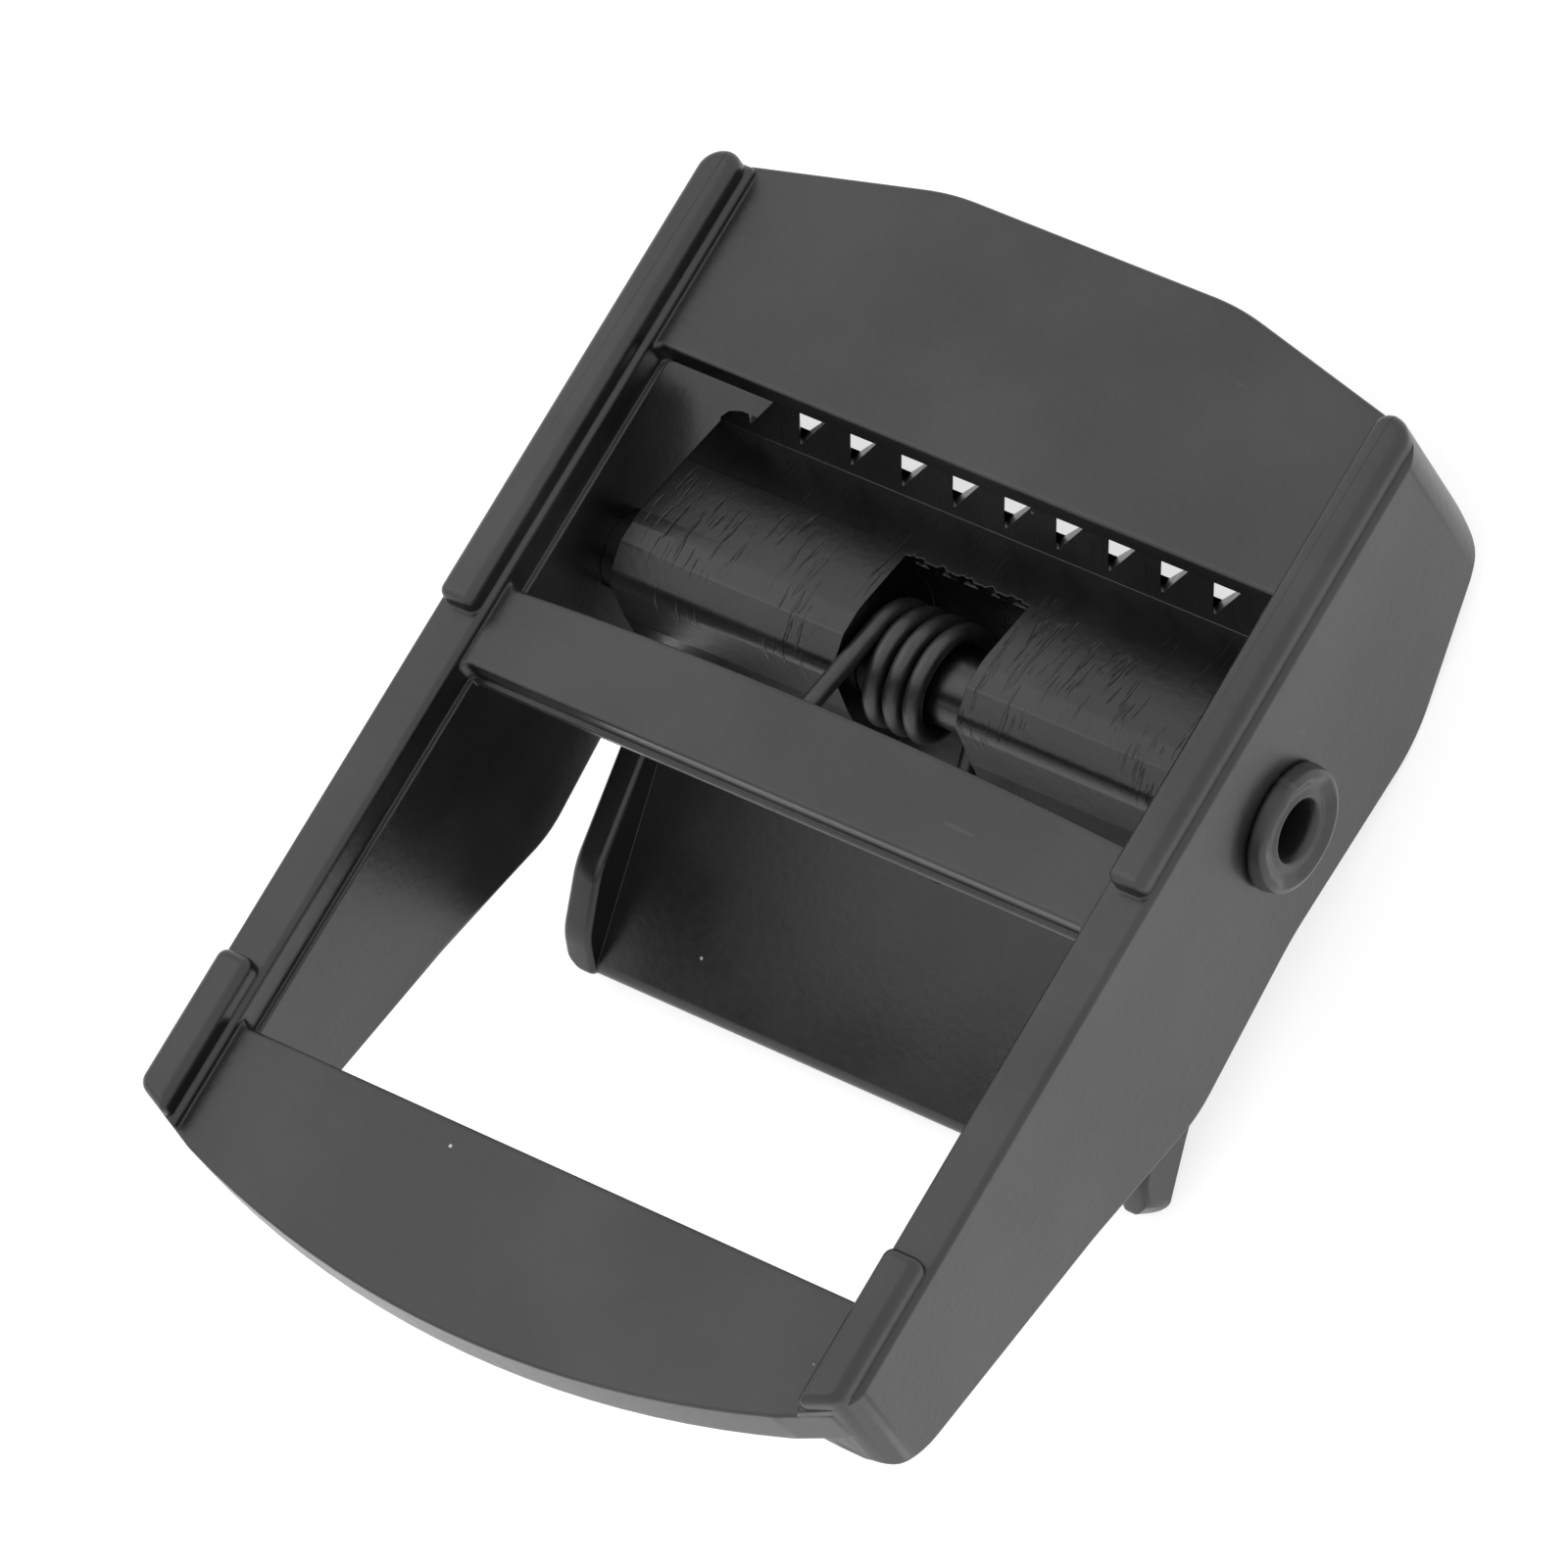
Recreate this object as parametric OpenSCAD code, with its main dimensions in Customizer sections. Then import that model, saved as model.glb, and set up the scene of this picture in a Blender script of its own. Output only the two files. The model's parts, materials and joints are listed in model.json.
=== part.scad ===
// Spring-loaded cam buckle for 25 mm webbing: a cast frame, a toothed cam lever,
// a hollow rivet pin and a torsion spring. Every piece is drawn in the buckle's own
// frame (X across, Y from the end bar to the base plate, Z out of the plates, origin
// on the mid bar's near edge at plate level), then the whole buckle is laid down at
// the tilt at which it rests on its lever and its side walls.

/* [Frame plates] */
// Clear width between the side walls at plate level
inner_w = 26.5; // [26:0.1:30]
// Thickness of the base plate and of the mid bar
plate_t = 1.35; // [1.1:0.05:1.6]
// Near edge of the base plate, over the cam's teeth
base_near_y = 13.2; // [13.1:0.05:13.5]
// Far edge of the base plate along its straight middle
base_far_y = 22.27; // [21.6:0.05:23]
// Half length of the straight middle of the far edge
crown_half = 6.1; // [4:0.1:8]
// Width of the mid bar where it leaves the side walls
mid_bar_w = 3.1; // [2.6:0.1:3.6]
// How far the mid bar's far edge bows out at its middle
mid_bar_bow = 0.4; // [0:0.05:0.6]
// Distance from the mid bar to the end bar, the length of the near window
near_window = 14.82; // [12:0.1:16]
// Front of the end bar at its middle
end_front_y = 21.5; // [21:0.1:23]
// Radius of the end bar's curved front
end_front_r = 40; // [34:1:60]
// Thickness of the end bar
end_bar_t = 2.0; // [1.6:0.1:2.6]

/* [Side walls] */
// Thickness of a side wall at its shoulder
wall_t = 1.9; // [1.8:0.05:2.2]
// Draft of a side wall's outer face from its top to its lower edge
outer_draft = 0.5; // [0.2:0.05:0.6]
// Draft of a side wall's inner face from its parting step to its lower edge
inner_draft = 0.35; // [0.1:0.05:0.4]
// Height of the rails above the plates
rail_h = 1.15; // [0.9:0.05:1.4]
// Height of the shoulder beside the rails, and of the low middle stretch
shoulder_h = 0.35; // [0.2:0.05:0.6]
// Setback of a rail's side from the wall below it
rail_inset = 0.2; // [0.1:0.05:0.3]
// Depth of the parting step on the inner faces, below the plate face
step_z = 1.0; // [0.7:0.05:1.2]
// How far the inner face stands in below the parting step
step_in = 0.2; // [0.1:0.05:0.25]
// Near end of the side walls
wall_near_y = 18.4; // [18:0.1:19]
// Far end of the side walls
wall_far_y = 20.45; // [20:0.05:20.6]

/* [Pin] */
// Distance of the hinge axis from the mid bar's near edge
pivot_y = 7.45; // [7.3:0.05:7.6]
// Depth of the hinge axis below the plate face
pivot_depth = 5.2; // [5:0.05:5.4]
// Outer radius of the hollow pin
pin_r = 1.45; // [1.3:0.05:1.5]
// Bore radius of the hollow pin
pin_bore_r = 1.05; // [0.8:0.05:1.1]
// Radius of the flared collars
collar_r = 2.4; // [2.2:0.05:2.6]
// How far a collar stands off the wall
collar_h = 0.5; // [0.4:0.05:0.8]

/* [Cam lever] */
// Width of the toothed drum
drum_w = 24.1; // [23.5:0.1:24.4]
// Radius from the hinge axis to the short tooth at the lip's -X end
short_tooth_r = 6.12; // [6:0.02:7]
// Width of the thumb plate over its flanges
thumb_w = 25.3; // [24.8:0.1:25.4]
// Sideways place of the lever on its pin, within its side play
side_play = 0.25; // [0:0.05:0.25]
// Angle between the thumb plate and the frame's plates, closed
lever_angle = 28; // [26:1:30]
// Distance from the hinge axis to the end of the thumb plate
thumb_reach = 15.25; // [14:0.05:16.4]
// Distance from the hinge axis down to the thumb plate's upper face
thumb_drop = 2.87; // [2.8:0.01:3]
// Thickness of the thumb plate where it is thinnest
thumb_t = 0.95; // [0.9:0.05:1.4]
// Thickness of the thumb plate at its end
end_t = 1.3; // [1:0.05:1.8]
// Width of a side flange
flange_w = 1.2; // [0.9:0.1:1.5]
// Radius of the drum's back
drum_r = 5.3; // [5.1:0.1:5.5]
// Radius from the hinge axis to the tooth tips
tip_r = 7.35; // [7.2:0.05:7.4]
// Angle of the tooth tips above the frame's plate direction
tip_angle = 31.5; // [30:0.1:31.6]
// Number of notches between the teeth
notch_count = 10; // [6:1:10]
// Spacing of the teeth
tooth_pitch = 2.2; // [2:0.05:2.25]
// Depth of a notch between two teeth
notch_depth = 1.25; // [0.8:0.05:1.3]
// Width of a notch at the tooth tips
notch_w = 1.65; // [1.2:0.05:1.9]
// How far a notch leans to the +X side from its bottom to the tooth tips
notch_lean = 0.5; // [0:0.05:0.6]
// Radius of the hub in front of the pin
hub_r = 2.3; // [2.2:0.05:2.4]
// Width of the spring pocket
pocket_w = 4.9; // [4.7:0.1:5.3]
// Middle of the spring pocket, from the frame's middle
pocket_x = 0.4; // [0.2:0.05:0.5]
// Radius of the spring pocket round the pin
pocket_r = 2.9; // [2.8:0.05:3]

/* [Spring] */
// Wire diameter
wire_d = 0.82; // [0.7:0.02:0.86]
// Mean radius of the coils
coil_r = 2.04; // [2:0.01:2.06]
// Full turns between the two legs, past their own angles
coil_turns = 3; // [2:1:3]
// Advance of the coil in one turn
coil_pitch = 0.94; // [0.9:0.01:1]
// Place of the fixed leg across the buckle
leg_x = -1.5; // [-1.6:0.05:-1.4]
// Where the fixed leg's tip bears under the mid bar, from the bar's near edge
fixed_tip_y = 2.6; // [2.2:0.1:3]
// Length of the leg that bears on the thumb plate
lever_leg = 7; // [5:0.1:7.5]

/* [Hidden] */
$fn = 72;

coating = [0.10, 0.10, 0.105];
wire_colour = [0.20, 0.20, 0.21];
slack = 0.02;                       // fitting gap between parts of one body
running = 0.06;                     // running gap of the lever on its pin
past = 1;                           // how far a cutter reaches past what it cuts
root = 0.5;                         // how far a bar or plate reaches into the side walls
arc_steps = 8;                      // chords in one rounded corner
half_in = inner_w / 2;
half_out = half_in + wall_t;
wall_low = 12;                      // depth to which both drafts run, past the lower edge
pivot = [pivot_y, -pivot_depth];

// Side outline of a wall: y, z, corner radius
wall_outline = [
    [-wall_near_y + 0.3, -5.75, 2.2],
    [-7.5, -8.8, 10],
    [-1.6, -10.95, 4],
    [5.3, -10.25, 10],
    [13.6, -10.85, 5],
    [wall_far_y - 0.85, -8.0, 1.8],
    [wall_far_y - 0.15, -4.6, 4],
    [wall_far_y - 0.1, rail_h, 0.9],
    [1.7, rail_h, 0.5],
    [1.5, shoulder_h, 0.3],
    [-12.7, shoulder_h, 0.3],
    [-12.9, rail_h, 0.5],
    [-wall_near_y, rail_h, 0.6]
];

// Cross-section of the wall on the +X side: x, z, corner radius
wall_section = [
    [half_in - step_in + inner_draft, -wall_low, 0],
    [half_out - outer_draft, -wall_low, 0],
    [half_out, shoulder_h, 0.15],
    [half_out - rail_inset, shoulder_h + 0.05, 0.1],
    [half_out - rail_inset, rail_h, 0.3],
    [half_in + rail_inset, rail_h, 0.3],
    [half_in + rail_inset, shoulder_h, 0.1],
    [half_in, shoulder_h - 0.05, 0.1],
    [half_in, -step_z, 0],
    [half_in - step_in, -step_z - 0.05, 0.05]
];

// Front of the end bar at a place across the buckle
function end_front(x) = -end_front_y + end_front_r - sqrt(pow(end_front_r, 2) - pow(x, 2));

// Plan of the whole frame, seen along Z: x, y, corner radius
corner_x = half_out - 2.6;
frame_plan = concat(
    [for (x = [-corner_x : corner_x / 10 : corner_x + 0.01]) [x, end_front(x), 0]],
    [
        [half_out, -wall_near_y + 0.1, 0.9],
        [half_out, wall_far_y, 1.0],
        [half_in + 0.3, wall_far_y + 0.05, 0.4],
        [crown_half, base_far_y, 3],
        [-crown_half, base_far_y, 3],
        [-half_in - 0.3, wall_far_y + 0.05, 0.4],
        [-half_out, wall_far_y, 1.0],
        [-half_out, -wall_near_y + 0.1, 0.9]
    ]
);

// Directions along the closed thumb plate and out of its upper face
along = [-cos(lever_angle), -sin(lever_angle)];
upward = [-sin(lever_angle), cos(lever_angle)];
function on_plate(u, v) = u * along + v * upward;
function polar(r, a) = r * [cos(a), sin(a)];
function with_r(p, r) = [p[0], p[1], r];

// Side outline of the lever about the hinge axis: y, z, corner radius
end_top = on_plate(thumb_reach, -thumb_drop);
end_low = on_plate(thumb_reach - 0.2, -thumb_drop - end_t);
end_low_r = 0.6;
thin = on_plate(12.2, -thumb_drop - thumb_t);
back_start = atan2(thin[1], thin[0]) + acos(drum_r / norm(thin));
back_end = 14;
hub_front = [for (a = [95 : 9 : 185]) with_r(polar(hub_r, a), 0)];
lever_outline = concat(
    [
        with_r(polar(tip_r, tip_angle), 0.05),
        [3.45, 2.25, 3],
        [1.3, 2.95, 0.8]
    ],
    hub_front,
    [
        [-2.45, -1.7, 1.5],
        with_r(on_plate(5.9, -thumb_drop), 1.2),
        with_r(end_top, 0.5),
        with_r(end_low, end_low_r),
        with_r(thin, 4)
    ],
    [for (i = [0 : 10]) with_r(polar(drum_r, back_start + (back_end - back_start) * i / 10), 0)]
);

// Outline of a flange about the hinge axis, along and out of the thumb plate: u, v, radius
flange_outline = [
    [4.4, -thumb_drop - thumb_t / 2, 0],
    [4.4, -2.4, 0.3],
    [11.3, -1.25, 3],
    [13.9, -1.8, 2],
    [thumb_reach, -thumb_drop, 0.4],
    [thumb_reach - 0.2, -thumb_drop - end_t, end_low_r],
    [12.2, -thumb_drop - thumb_t, 4]
];

// Rest on a level surface: the tilt of the line that touches the lever's end and the
// wall's far hump, both rounded, from their corner centres
hump = corner_centre(wall_outline, 4);
hump_r = wall_outline[4][2];
tail = pivot + corner_centre(lever_outline, len(hub_front) + 6);
span = hump - tail;
rest_tilt = atan2(span[1], span[0]) - asin((hump_r - end_low_r) / norm(span));
rest_z = end_low_r - (tail[1] * cos(rest_tilt) - tail[0] * sin(rest_tilt));
rest_far = base_far_y * cos(rest_tilt);
rest_near = -end_front_y * cos(rest_tilt) - end_bar_t * sin(rest_tilt);
rest_y = -(rest_far + rest_near) / 2;

// Rounded corners: each point of a table becomes an arc of its own radius
function unit(v) = v / norm(v);
function flat(p) = [p[0], p[1]];
function before(table, i) = flat(table[(i + len(table) - 1) % len(table)]);
function after(table, i) = flat(table[(i + 1) % len(table)]);
function corner_centre(table, i) = let (
    p = flat(table[i]),
    u = unit(before(table, i) - p),
    w = unit(after(table, i) - p),
    half = acos(u * w) / 2
) p + unit(u + w) * table[i][2] / sin(half);
function corner_arc(table, i) = let (
    p = flat(table[i]),
    u = unit(before(table, i) - p),
    w = unit(after(table, i) - p),
    half = acos(u * w) / 2,
    centre = corner_centre(table, i),
    start = p + u * table[i][2] / tan(half) - centre,
    turn = (90 - half) * 2 * sign(cross(-u, w)),
    from = atan2(start[1], start[0])
) [for (k = [0 : arc_steps]) centre + polar(table[i][2], from + turn * k / arc_steps)];
function rounded(table) = [
    for (i = [0 : len(table) - 1])
        each table[i][2] == 0 ? [flat(table[i])] : corner_arc(table, i)
];

// Lays the buckle down as it rests
module at_rest() {
    translate([0, rest_y, rest_z]) rotate([-rest_tilt, 0, 0]) children();
}

// A side outline in Y and Z, given a thickness from x0 to x1
module across(x0, x1) {
    translate([x0, 0, 0]) rotate([90, 0, 90]) linear_extrude(x1 - x0) children();
}

// A round bar or bore on the hinge axis, from x0 to x1
module on_axis(r, x0, x1) {
    translate([x0, pivot[0], pivot[1]]) rotate([0, 90, 0]) cylinder(r = r, h = x1 - x0);
}

module side_wall() {
    intersection() {
        across(0, half_out + past) polygon(rounded(wall_outline));
        translate([0, base_far_y, 0]) rotate([90, 0, 0])
            linear_extrude(base_far_y + end_front_y) polygon(rounded(wall_section));
    }
}

module base_plate() {
    translate([-half_in - root, base_near_y, -plate_t])
        cube([inner_w + 2 * root, base_far_y - base_near_y + past, plate_t]);
}

module mid_bar() {
    bow_r = (pow(half_in, 2) + pow(mid_bar_bow, 2)) / (2 * mid_bar_bow);
    far_edge = [for (i = [-8 : 8]) let (x = -i * half_in / 8)
        [x, mid_bar_w + mid_bar_bow - bow_r + sqrt(pow(bow_r, 2) - pow(x, 2))]];
    translate([0, 0, -plate_t]) linear_extrude(plate_t)
        polygon(concat([[-half_in, 0], [half_in, 0]], far_edge));
    translate([-half_in, -step_in, -plate_t]) cube([inner_w, past, plate_t - step_z]);
}

module end_bar() {
    length = end_front_y - near_window;
    translate([-half_in - root, -end_front_y, -end_bar_t])
        cube([inner_w + 2 * root, length, end_bar_t]);
}

module frame() {
    color(coating) at_rest() difference() {
        intersection() {
            translate([0, 0, -wall_low - past])
                linear_extrude(wall_low + 2 * past + rail_h) polygon(rounded(frame_plan));
            union() {
                side_wall();
                mirror([1, 0, 0]) side_wall();
                base_plate();
                mid_bar();
                end_bar();
            }
        }
        on_axis(pin_r + slack, -half_out - past, half_out + past);
    }
}

// The leaning V notches between the teeth, wider and deeper towards the drum's back
module tooth_notches() {
    above = 0.4;
    start = 0.15;
    reach = 2.4;
    widening = 2.4;
    shift = 0.1;
    for (i = [0 : notch_count - 1])
        translate([(i - (notch_count - 1) / 2) * tooth_pitch + notch_lean + shift, pivot[0], pivot[1]])
            rotate([tip_angle, 0, 0]) translate([0, tip_r, start]) mirror([0, 0, 1])
                linear_extrude(reach, scale = widening) polygon([
                    [-notch_lean, -notch_depth],
                    [notch_w / 2 + above * (notch_w / 2 + notch_lean) / notch_depth, above],
                    [-notch_w / 2 - above * (notch_w / 2 - notch_lean) / notch_depth, above]
                ]);
}

// The pocket that the coils sit in, open to the top and the front
module spring_pocket() {
    x0 = pocket_x - side_play - pocket_w / 2;
    front = 5;
    leg_way = 9;
    across(x0, x0 + pocket_w) translate(pivot) {
        circle(r = pocket_r);
        translate([-front, 0]) square([front + pocket_r, front]);
        rotate(lever_angle) translate([-leg_way, -thumb_drop]) square([leg_way, front + past]);
    }
}

// Cuts the toothed lip's -X end back to a slant and a short tooth, seen square to the lip
module lip_end_cut() {
    side = -drum_w / 2;
    translate([0, pivot[0], pivot[1]]) rotate([tip_angle, 0, 0]) linear_extrude(4, center = true)
        polygon([
            [side, 3.9],
            [side + 0.7, 5.1],
            [side + 1.05, short_tooth_r - 0.2],
            [side + 1.3, short_tooth_r],
            [side + 2.15, short_tooth_r],
            [side + 3.2, tip_r + past],
            [side - past, tip_r + past],
            [side - past, 3.9]
        ]);
}

// Rounds one end corner of the thumb plate, seen square to the plate
module thumb_corner_cut() {
    r = 1.1;
    depth = thumb_drop + end_t + past;
    translate([thumb_w / 2 - r, thumb_reach - r, -depth]) difference() {
        cube([r + past, r + past, depth]);
        cylinder(r = r, h = depth);
    }
}

module thumb_corners() {
    translate([0, pivot[0], pivot[1]]) rotate([lever_angle, 0, 0]) mirror([0, 1, 0]) {
        thumb_corner_cut();
        mirror([1, 0, 0]) thumb_corner_cut();
    }
}

module flange() {
    outline = [for (p = rounded(flange_outline)) pivot + on_plate(p[0], p[1])];
    across(thumb_w / 2 - flange_w, thumb_w / 2) polygon(outline);
}

module cam_lever() {
    outline = [for (p = rounded(lever_outline)) pivot + p];
    color(coating) at_rest() translate([side_play, 0, 0]) difference() {
        union() {
            across(-drum_w / 2, drum_w / 2) polygon(outline);
            flange();
            mirror([1, 0, 0]) flange();
        }
        tooth_notches();
        spring_pocket();
        thumb_corners();
        lip_end_cut();
        on_axis(pin_r + running, -half_in, half_in);
    }
}

// Half profile of the hollow rivet: radius, x, with the flared mouth and rolled collar
module hinge_pin() {
    seat = half_out - 0.1;
    rim = seat + collar_h;
    half_profile = [
        [pin_bore_r, 0],
        [pin_bore_r, rim - 1.1],
        [pin_bore_r + 0.12, rim - 0.6],
        [pin_bore_r + 0.4, rim - 0.12],
        [pin_bore_r + 0.65, rim],
        [collar_r - 0.3, rim],
        [collar_r - 0.08, rim - 0.12],
        [collar_r, rim - 0.3],
        [collar_r, seat],
        [pin_r, seat],
        [pin_r, 0]
    ];
    color(coating) at_rest() translate([0, pivot[0], pivot[1]]) rotate([0, 90, 0]) {
        rotate_extrude() polygon(half_profile);
        mirror([0, 0, 1]) rotate_extrude() polygon(half_profile);
    }
}

// Centre line of the spring about the hinge axis, from the tip of the leg under the mid
// bar, over the coils, to the tip of the leg on the thumb plate
bar_tip = [fixed_tip_y, -plate_t - wire_d / 2 - slack] - pivot;
fixed_angle = atan2(bar_tip[1], bar_tip[0]) - acos(coil_r / norm(bar_tip));
fixed_leg = sqrt(pow(norm(bar_tip), 2) - pow(coil_r, 2));
plate_lean = asin((thumb_drop - wire_d / 2 - slack - coil_r) / lever_leg);
lever_leg_angle = -90 + lever_angle + plate_lean - 360 * coil_turns;
coil_sweep = fixed_angle - lever_leg_angle;
coil_steps = 24 * (coil_turns + 1);
function coil_at(k) = let (a = fixed_angle - coil_sweep * k / coil_steps)
    [leg_x + coil_pitch * coil_sweep / 360 * k / coil_steps, coil_r * cos(a), coil_r * sin(a)];
function tangent_leg(p, a, length) = p + length * [0, -sin(a), cos(a)];
wire_path = concat(
    [tangent_leg(coil_at(0), fixed_angle, fixed_leg)],
    [for (k = [0 : coil_steps]) coil_at(k)],
    [tangent_leg(coil_at(coil_steps), lever_leg_angle, -lever_leg)]
);
function outward(k) = let (
    j = min(max(k - 1, 0), coil_steps),
    a = fixed_angle - coil_sweep * j / coil_steps
) [0, cos(a), sin(a)];

module torsion_spring() {
    sides = 10;
    last = len(wire_path) - 1;
    rings = [for (k = [0 : last]) let (
        p = wire_path[k],
        run = unit(wire_path[min(k + 1, last)] - wire_path[max(k - 1, 0)]),
        up = outward(k),
        side = cross(run, up)
    ) each [for (s = [0 : sides - 1]) p + wire_d / 2 * (cos(360 * s / sides) * up
        + sin(360 * s / sides) * side)]];
    skin = [for (k = [0 : last - 1], s = [0 : sides - 1]) let (
        a = k * sides + s,
        b = k * sides + (s + 1) % sides
    ) each [[a, b, b + sides], [a, b + sides, a + sides]]];
    cap_start = [for (s = [0 : sides - 1]) sides - 1 - s];
    cap_end = [for (s = [0 : sides - 1]) last * sides + s];
    color(wire_colour) at_rest() translate([0, pivot[0], pivot[1]])
        polyhedron(points = rings, faces = concat([cap_start], skin, [cap_end]));
}

frame();
cam_lever();
hinge_pin();
torsion_spring();
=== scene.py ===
"""Spring-loaded cam buckle for 25 mm webbing, dressed for a studio picture.

Every casting is worked out with numpy in the buckle's own frame, in millimetres: X across,
Y from the end bar to the base plate, Z out of the plates, with the origin on the mid bar's
near edge at plate level. laid_down() then places it in the packed frame, in metres.
"""
import json
import math
from types import SimpleNamespace

import bpy
import numpy as np
from bpy.props import FloatProperty, FloatVectorProperty, IntProperty, PointerProperty
from mathutils import Matrix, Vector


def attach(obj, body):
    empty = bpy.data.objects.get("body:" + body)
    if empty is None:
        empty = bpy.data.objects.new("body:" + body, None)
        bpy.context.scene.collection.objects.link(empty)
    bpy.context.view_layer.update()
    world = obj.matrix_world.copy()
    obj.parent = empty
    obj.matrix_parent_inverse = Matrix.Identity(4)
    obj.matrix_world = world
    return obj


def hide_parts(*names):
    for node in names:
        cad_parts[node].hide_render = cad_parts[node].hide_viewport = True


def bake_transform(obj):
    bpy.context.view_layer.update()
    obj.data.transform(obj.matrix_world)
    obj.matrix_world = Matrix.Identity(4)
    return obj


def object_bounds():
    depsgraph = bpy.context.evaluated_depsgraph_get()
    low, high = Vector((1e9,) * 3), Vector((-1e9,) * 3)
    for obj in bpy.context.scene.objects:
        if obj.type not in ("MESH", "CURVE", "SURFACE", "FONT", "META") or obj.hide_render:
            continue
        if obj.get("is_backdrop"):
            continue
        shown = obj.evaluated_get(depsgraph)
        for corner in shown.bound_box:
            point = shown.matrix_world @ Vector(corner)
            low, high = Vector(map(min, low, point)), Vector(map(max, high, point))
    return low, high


bl_info = {
    "name": "Cam buckle",
    "version": (1, 0, 0),
    "blender": (4, 5, 0),
    "location": "3D View > Sidebar > Buckle",
    "description": "Builds a spring-loaded cam buckle over its packed frame, in a studio",
    "category": "Add Mesh",
}

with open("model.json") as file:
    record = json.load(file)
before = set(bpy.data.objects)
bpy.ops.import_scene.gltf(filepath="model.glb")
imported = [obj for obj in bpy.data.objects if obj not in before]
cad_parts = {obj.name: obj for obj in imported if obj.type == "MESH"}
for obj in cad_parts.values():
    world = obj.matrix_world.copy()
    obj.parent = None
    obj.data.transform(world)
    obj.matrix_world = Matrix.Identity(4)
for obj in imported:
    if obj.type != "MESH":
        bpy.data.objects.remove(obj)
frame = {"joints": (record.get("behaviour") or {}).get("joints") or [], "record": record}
cad_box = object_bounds()

MM = 0.001
PIVOT = np.array([7.45, -5.2])  # hinge axis: Y and Z in the buckle's own frame
PLATE_AXIS = next(m["axis"] for m in frame["record"]["mounts"] if m["name"] == "base_plate_face")
HINGE = np.array(frame["joints"][0]["pos_m"]) / MM
TILT = math.atan2(PLATE_AXIS[1], PLATE_AXIS[2])
LAY = np.array([
    [1, 0, 0],
    [0, math.cos(TILT), math.sin(TILT)],
    [0, -math.sin(TILT), math.cos(TILT)],
])
ORIGIN = HINGE - LAY @ np.array([0, *PIVOT])

HALF_IN = 13.25  # inner face of a side wall at plate level
HALF_OUT = 15.15  # outer face of a side wall at its shoulder
LEVER_ANGLE = 28.0  # between the thumb plate and the frame's plates
LEVER_SHIFT = 0.25  # sideways place of the lever within its side play
THUMB_DROP = 2.87  # from the hinge axis down to the thumb plate
TIP_ANGLE = 31.5  # of the toothed lip, above the frame's plates
TIP_RADIUS = 7.35  # from the hinge axis to the teeth's tips
TOOTH_RISE = 68.0  # of the teeth's front faces, above the frame's plates
DRUM_HALF = 12.05  # half the drum's width
THUMB_HALF = 12.65  # half the thumb plate's width
BAR_UNDER = -1.35  # height of the mid bar's underside
FRAME_BORE = 1.47  # radius of the walls' holes for the pin
LEVER_BORE = 1.51  # radius of the lever's hole for the pin
LEAST_RADIUS = 0.015  # left to a corner when its outline is moved in
EDGE_RINGS = 5  # rings that make up a rounded edge
HARD_EDGE = math.radians(34)  # faces that meet more steeply than this are shaded apart
DUST = (0.42, 0.42, 0.42)  # colour of dust and of hair scratches


# Placing
def laid_down(points):
    """Buckle's own frame in millimetres to the packed frame in metres: turned by the rest
    tilt about X, then moved."""
    return (np.asarray(points, float) @ LAY.T + ORIGIN) * MM


def on_plan(ab, height):
    """Outline in X and Y, height along Z."""
    return np.stack([ab[:, 0], ab[:, 1], np.broadcast_to(height, len(ab))], -1)


def on_side(ab, height):
    """Outline in Y and Z, height along X."""
    return np.stack([np.broadcast_to(height, len(ab)), ab[:, 0], ab[:, 1]], -1)


def about_hinge(degrees):
    """Outline in X and a direction turned by degrees from Y, height square to both, all
    measured from the hinge axis."""
    cos, sin = math.cos(math.radians(degrees)), math.sin(math.radians(degrees))

    def place(ab, height):
        y = ab[:, 1] * cos - height * sin + PIVOT[0]
        z = ab[:, 1] * sin + height * cos + PIVOT[1]
        return np.stack([ab[:, 0], y, z], -1)

    return place


# Outlines
def unit(vectors):
    """Vectors divided by their own length."""
    return vectors / np.linalg.norm(vectors, axis=-1, keepdims=True)


def polar(radius, degrees):
    """Point at a radius and an angle."""
    angle = np.radians(degrees)
    return np.stack([radius * np.cos(angle), radius * np.sin(angle)], -1)


def on_thumb(along, above):
    """Point by its distance along the thumb plate and above the hinge axis, square to it."""
    way = polar(-1.0, LEVER_ANGLE)
    return along * way + above * np.array([way[1], -way[0]])


def on_thumb_table(table):
    """Corners given by their place on the thumb plate, as on_thumb() takes it."""
    return [(*on_thumb(along, above), r) for along, above, r in table]


def from_hinge(table):
    """Corners measured from the hinge axis, in the buckle's own frame."""
    return [(a + PIVOT[0], b + PIVOT[1], r) for a, b, r in table]


def hinge_hole(radius):
    """Outline of a round hole about the hinge axis: a square round the circle, its corners
    rounded almost to the radius."""
    square = polar(radius * math.sqrt(2), np.arange(45, 360, 90))
    flat = 0.02  # half of what stays straight on each side of the square
    return from_hinge([(a, b, radius - flat) for a, b in square])


def corners(table):
    """Parts of a table of corners (a, b, radius) that runs anticlockwise: points, radii,
    unit vectors back and ahead, half the corner's angle, and +1 where it stands out or -1
    where it is hollow."""
    table = np.asarray(table, float)
    points = table[:, :2]
    back = unit(np.roll(points, 1, 0) - points)
    ahead = unit(np.roll(points, -1, 0) - points)
    half = np.arccos(np.clip((back * ahead).sum(1), -1, 1)) / 2
    turn = np.sign(back[:, 1] * ahead[:, 0] - back[:, 0] * ahead[:, 1])
    return points, table[:, 2], back, ahead, half, turn


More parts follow.
